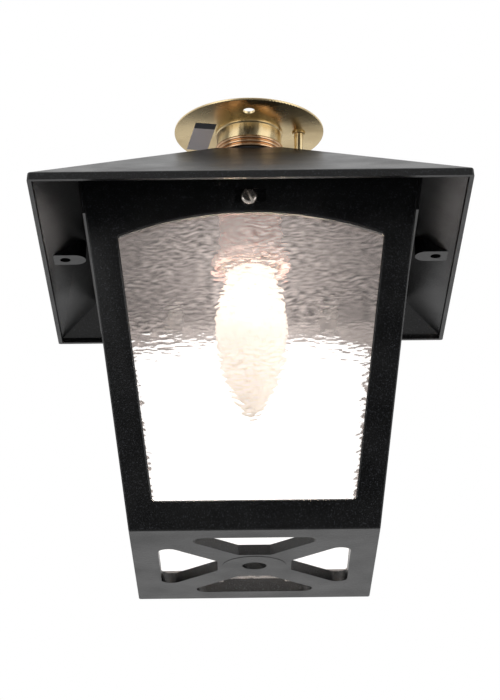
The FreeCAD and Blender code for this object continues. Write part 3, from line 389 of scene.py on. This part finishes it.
# the painted glow of the lamp's light on the panes, given as emission
paintedLampGlare = {
    "everywhere": 0.15, "wide": 0.36, "wideReach": 0.066, "wideDrop": 0.0165, "widePower": 1.5,
    "core": 0.2, "coreReach": 0.019, "coreDrop": 0.0245, "coreFlatten": 1.4, "corePower": 0.7,
    "ripple": 2.3, "least": 0.3,
}


def rippleAt(across, up, seed):
    # 0 to 1: uneven lines that run across the pane, stronger in some patches
    look = glassRipple
    size, patchSize = look["bendSize"], look["patchSize"]
    bend = noise.noise(Vector((across / size, up / size, seed + look["bendSeed"]))) * look["bend"]
    wave = (across / look["waveLength"], (up + bend) / look["waveHeight"])
    line = noise.noise(Vector((*wave, seed)))
    fine = noise.noise(Vector((wave[0] * look["fineAcross"], wave[1] * look["fineUp"],
                               seed + look["fineSeed"])))
    patch = noise.noise(Vector((across / patchSize, up / patchSize, seed + look["patchSeed"])))
    strength = min(1.0, max(look["patchLeast"], look["patchMiddle"] + look["patchSwing"] * patch))
    line = (line + look["fineShare"] * fine) * look["gain"]
    return 0.5 + 0.5 * max(-1.0, min(1.0, line)) * strength


def paintedGlareAt(across, up):
    # painted glow: how brightly the pane is painted to shine with the lamp's scattered light,
    # strongest beside it
    look = paintedLampGlare
    rise = up - filamentMiddle.z
    wide = 1 - math.hypot(across, rise + look["wideDrop"]) / look["wideReach"]
    coreRise = look["coreFlatten"] * (rise + look["coreDrop"])
    core = 1 - math.hypot(across, coreRise) / look["coreReach"]
    return (look["everywhere"] + look["wide"] * max(0.0, wide) ** look["widePower"]
            + look["core"] * max(0.0, core) ** look["corePower"])


def ripplePane(side, nodeName):
    look = glassRipple
    mesh = copyOfNode(nodeName)
    paintedGlare = mesh.verts.layers.float.new("paintedLampGlare")
    bmesh.ops.dissolve_limit(mesh, angle_limit=look["flatWithin"], verts=mesh.verts,
                             edges=mesh.edges)
    turned = Matrix.Rotation(-math.pi / 2 * side, 3, "Z")  # brings this side to the front
    level = [edge for edge in mesh.edges
             if abs((turned @ (edge.verts[0].co - edge.verts[1].co)).x) > look["longAcross"]]
    bmesh.ops.subdivide_edges(mesh, edges=level, cuts=look["acrossCuts"], use_grid_fill=True)
    rising = [edge for edge in mesh.edges
              if abs(edge.verts[0].co.z - edge.verts[1].co.z) > look["longUp"]]
    bmesh.ops.subdivide_edges(mesh, edges=rising, cuts=look["upCuts"], use_grid_fill=True)
    mesh.normal_update()
    sheets, rim = set(), set()
    for face in mesh.faces:
        if abs((turned @ face.normal).y) > look["facing"]:
            sheets.update(face.verts)
        else:
            rim.update(face.verts)
    lowest = min(vert.co.z for vert in mesh.verts)
    highest = max(vert.co.z for vert in mesh.verts)
    halfWidth = max((turned @ vert.co).x for vert in mesh.verts)
    moves = []
    for vert in sheets - rim:
        local = turned @ vert.co
        outer = (turned @ vert.normal).y < 0
        nearEdge = min(vert.co.z - lowest, highest - vert.co.z, halfWidth - abs(local.x))
        fade = min(1.0, max(0.0, nearEdge / look["edgeFade"]))
        seed = side * look["sideSeed"] + (0 if outer else look["innerSeed"])
        height = rippleAt(local.x, local.z, seed)
        share = 1.0 if outer else look["innerShare"]
        moves.append((vert, -vert.normal * look["depth"] * (1 - height) * fade * share))
        if outer:
            # the painted glow is brighter on the ripple crests
            line = 1 + paintedLampGlare["ripple"] * (height - 0.5)
            vert[paintedGlare] = paintedGlareAt(local.x, local.z) * max(paintedLampGlare["least"], line)
    for vert, move in moves:
        vert.co += move
    name = nodeName.replace("glass", "rippled_pane")
    piece = finishPiece(mesh, name, nodeName, look["smoothAngle"])
    piece.visible_shadow = False  # lets the lamp's light out


for side, nodeName in enumerate(("glass_front", "glass_right", "glass_rear", "glass_left")):
    ripplePane(side, nodeName)
frame["nodes"]["lamp_envelope"].visible_shadow = False
print("panes rippled")


castingEdges = {"width": 0.0003, "sharpFrom": 28.0, "flatWithin": 0.002}


def softenCasting(nodeName, name):
    # the cast shell with every crisp edge slightly rounded, as paint leaves it
    look = castingEdges
    mesh = copyOfNode(nodeName)
    bmesh.ops.dissolve_limit(mesh, angle_limit=look["flatWithin"], verts=mesh.verts,
                             edges=mesh.edges, delimit={"NORMAL"})
    piece = finishPiece(mesh, name, nodeName, look["sharpFrom"])
    roundEdges(piece, look["width"], look["sharpFrom"])


softenCasting("roof", "roof_casting")
softenCasting("lantern_body", "body_casting")
print("castings softened")


# the small hard pieces: each one's name and how wide its crisp edges are broken
brokenEdges = {
    "ceiling_plate": ("turned_ceiling_plate", 0.0003), "neck": ("threaded_neck_cup", 0.0001),
    "lower_lock_ring": ("under_roof_ring", 0.0003), "earth_pillar": ("earth_post", 0.00025),
    "earth_washer": ("earth_post_washer", 0.0001), "earth_screw": ("earth_post_screw", 0.00015),
    "nipple": ("threaded_nipple", 0.0001), "nipple_nuts": ("hexagon_nuts", 0.0002),
    "holder_cap": ("holder_upper_casing", 0.0002), "holder_skirt": ("holder_lower_casing", 0.0002),
    "body_screw_front": ("front_pan_screw", 0.00015),
    "body_screw_rear": ("rear_pan_screw", 0.00015),
    "glass_clips": ("bent_glass_clips", 0.00012), "clip_screws": ("clip_fixing_screws", 0.0001),
    "clamp_bars": ("tapped_clamp_bars", 0.0003), "holder_core": ("porcelain_core", 0.0003),
}
smallPieces = {"smoothAngle": 32, "sharpFrom": 50}

for nodeName, (name, width) in brokenEdges.items():
    piece = finishPiece(copyOfNode(nodeName), name, nodeName, smallPieces["smoothAngle"])
    roundEdges(piece, width, smallPieces["sharpFrom"])
print("small pieces finished:", len(brokenEdges))


lockRing = {
    "beads": 3, "beadSteps": 6, "spinSteps": 96, "grooveDepth": 0.0009, "beadRoundness": 0.6,
    "seamWithin": 0.000005, "smoothAngle": 50,
}


def beadedRing(nodeName, name):
    # a ring turned with rounded beads: its section, spun once round
    look = lockRing
    low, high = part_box(nodeName)
    bore = min(math.hypot(vert.co.x, vert.co.y) for vert in frame["nodes"][nodeName].data.vertices)
    height = (high.z - low.z) / look["beads"]
    points = [(bore, low.z)]
    for bead in range(look["beads"]):
        for step in range(look["beadSteps"] + 1):
            share = step / look["beadSteps"]
            swell = math.sin(math.pi * share) ** look["beadRoundness"]
            radius = high.x - look["grooveDepth"] * (1 - swell)
            points.append((radius, low.z + height * (bead + share)))
    points.append((bore, high.z))
    mesh = bmesh.new()
    verts = [mesh.verts.new((radius, 0, z)) for radius, z in points]
    edges = [mesh.edges.new((verts[i], verts[(i + 1) % len(verts)])) for i in range(len(verts))]
    bmesh.ops.spin(mesh, geom=verts + edges, cent=(0, 0, 0), axis=(0, 0, 1), angle=math.tau,
                   steps=look["spinSteps"], use_merge=True)
    bmesh.ops.remove_doubles(mesh, verts=mesh.verts, dist=look["seamWithin"])
    bmesh.ops.recalc_face_normals(mesh, faces=mesh.faces)
    finishPiece(mesh, name, nodeName, look["smoothAngle"])


beadedRing("upper_lock_ring", "beaded_lock_ring")
print("lock ring turned")


# the floor and sky that the eye sees are pale, and what gloss reflects is graded
floorLook = {
    "height": -1.8, "size": 30.0, "colour": (0.86, 0.86, 0.86), "whiteShare": 0.75,
    "glossFront": 0.34, "glossRear": 0.76, "frontAt": -1.4, "rearAt": 1.4, "roughness": 0.9,
}
skyLook = {
    "white": 1.0, "even": 0.6, "lowRear": 0.4, "highRear": 0.9, "rearFrom": (0.05, 0.4),
    "lowFront": 0.0, "highFront": 0.5, "frontFrom": (0.24, 0.5), "frontToRear": (-0.5, 0.25),
}


def rayIs(tree, *kinds):
    # 1 where the ray is one of these kinds
    path = addNode(tree, "ShaderNodeLightPath")
    found = path.outputs[kinds[0]]
    for kind in kinds[1:]:
        either = addNode(tree, "ShaderNodeMath", {"operation": "MAXIMUM"})
        tree.links.new(found, either.inputs[0])
        tree.links.new(path.outputs[kind], either.inputs[1])
        found = either.outputs["Value"]
    return found


def mixed(tree, share, first, second):
    node = addNode(tree, "ShaderNodeMixShader")
    tree.links.new(share, node.inputs["Fac"])
    tree.links.new(first, node.inputs[1])
    tree.links.new(second, node.inputs[2])
    return node.outputs["Shader"]


def makeFloor():
    look = floorLook
    mesh = bmesh.new()
    bmesh.ops.create_grid(mesh, x_segments=4, y_segments=4, size=look["size"] / 2)
    bmesh.ops.translate(mesh, verts=mesh.verts, vec=(0, 0, look["height"]))
    data = bpy.data.meshes.new("floor")
    mesh.to_mesh(data)
    mesh.free()
    floor = bpy.data.objects.new("floor", data)
    bpy.context.scene.collection.objects.link(floor)
    paint = newShader("floor_paint", look["colour"], roughness=look["roughness"])
    tree = paint.node_tree
    depth = splitPlace(tree, placeOf(tree))["Y"]
    level = spread(tree, depth, look["frontAt"], look["rearAt"],
                   look["glossFront"], look["glossRear"])
    shown = addNode(tree, "ShaderNodeEmission")
    tree.links.new(level, shown.inputs["Strength"])
    white = addNode(tree, "ShaderNodeEmission", Strength=1.0)
    seen = addNode(tree, "ShaderNodeMath", {"operation": "MULTIPLY"})
    tree.links.new(rayIs(tree, "Is Camera Ray"), seen.inputs[0])
    seen.inputs[1].default_value = look["whiteShare"]  # the rest keeps the shadow
    matt = mixed(tree, seen.outputs["Value"], tree.nodes["Principled BSDF"].outputs["BSDF"],
                 white.outputs["Emission"])
    glossy = rayIs(tree, "Is Glossy Ray", "Is Transmission Ray")
    surface = mixed(tree, glossy, matt, shown.outputs["Emission"])
    tree.links.new(surface, tree.nodes["Material Output"].inputs["Surface"])
    data.materials.append(paint)


def makeSky():
    # white to the eye and through glass, even for matt surfaces, and for gloss
    # bright behind, with a dark belt low in front under a bright upper front
    look = skyLook
    world = bpy.data.worlds.new("studio")
    bpy.context.scene.world = world
    world.use_nodes = True
    tree = world.node_tree
    tree.nodes.clear()
    towards = splitPlace(tree, addNode(tree, "ShaderNodeTexCoord").outputs["Generated"])
    front = spread(tree, towards["Z"], *look["frontFrom"], look["lowFront"], look["highFront"])
    rear = spread(tree, towards["Z"], *look["rearFrom"], look["lowRear"], look["highRear"])
    level = addNode(tree, "ShaderNodeMix", {"data_type": "FLOAT"})
    tree.links.new(spread(tree, towards["Y"], *look["frontToRear"], 0.0, 1.0), level.inputs[0])
    tree.links.new(front, level.inputs[2])
    tree.links.new(rear, level.inputs[3])
    gloss = addNode(tree, "ShaderNodeBackground", Color=(1, 1, 1, 1))
    tree.links.new(level.outputs[0], gloss.inputs["Strength"])
    even = addNode(tree, "ShaderNodeBackground", Color=(1, 1, 1, 1), Strength=look["even"])
    white = addNode(tree, "ShaderNodeBackground", Color=(1, 1, 1, 1), Strength=look["white"])
    matt = mixed(tree, rayIs(tree, "Is Diffuse Ray"), gloss.outputs["Background"],
                 even.outputs["Background"])
    sky = mixed(tree, rayIs(tree, "Is Camera Ray", "Is Transmission Ray"), matt,
                white.outputs["Background"])
    output = addNode(tree, "ShaderNodeOutputWorld")
    tree.links.new(sky, output.inputs["Surface"])


softboxes = {
    "softbox_left": {"at": (-1.15, -1.11, 0.2), "size": (1.0, 1.8), "watts": 6.8},
    "softbox_right": {"at": (1.36, -0.85, 0.2), "size": (1.3, 1.8), "watts": 8.8},
}
softboxTarget = (0, 0, -0.1)
lanternLight = {"watts": 1.3, "radius": 0.006, "colour": (1.0, 0.8, 0.62)}


def makeLamps():
    for name, look in softboxes.items():
        data = bpy.data.lights.new(name, "AREA")
        data.shape = "RECTANGLE"
        data.size, data.size_y = look["size"]
        data.energy = look["watts"]
        lamp = bpy.data.objects.new(name, data)
        bpy.context.scene.collection.objects.link(lamp)
        aim = (Vector(softboxTarget) - Vector(look["at"])).to_track_quat("-Z", "Y")
        lamp.matrix_world = Matrix.Translation(look["at"]) @ aim.to_matrix().to_4x4()
    data = bpy.data.lights.new("lantern_light", "POINT")
    data.energy = lanternLight["watts"]
    data.color = lanternLight["colour"]
    data.shadow_soft_size = lanternLight["radius"]
    glow = bpy.data.objects.new("lantern_light", data)
    glow.location = filamentMiddle
    bpy.context.scene.collection.objects.link(glow)


# angles in degrees, lens and sensor in millimetres
cameraPlace = {
    "at": (-0.005149, -1.118164, -0.556120), "yaw": 0.221, "pitch": 21.387, "roll": -0.701,
    "lens": 126.96, "sensor": 36.0, "farEnd": 50.0,
}


def makeCamera():
    look = cameraPlace
    yaw, pitch, roll = (math.radians(look[name]) for name in ("yaw", "pitch", "roll"))
    level = math.cos(pitch)
    ahead = Vector((math.sin(yaw) * level, math.cos(yaw) * level, math.sin(pitch)))
    right = Vector((math.cos(yaw), -math.sin(yaw), 0))
    up = right.cross(ahead)
    rightRolled = math.cos(roll) * right + math.sin(roll) * up
    upRolled = math.cos(roll) * up - math.sin(roll) * right
    data = bpy.data.cameras.new("camera")
    data.lens = look["lens"]
    data.sensor_width = look["sensor"]
    data.clip_end = look["farEnd"]
    camera = bpy.data.objects.new("camera", data)
    bpy.context.scene.collection.objects.link(camera)
    axes = Matrix((rightRolled, upRolled, -ahead)).transposed().to_4x4()
    camera.matrix_world = Matrix.Translation(look["at"]) @ axes
    bpy.context.scene.camera = camera


makeFloor()
makeSky()
makeLamps()
makeCamera()
bpy.context.scene.view_settings.view_transform = "Standard"
print("stage set")
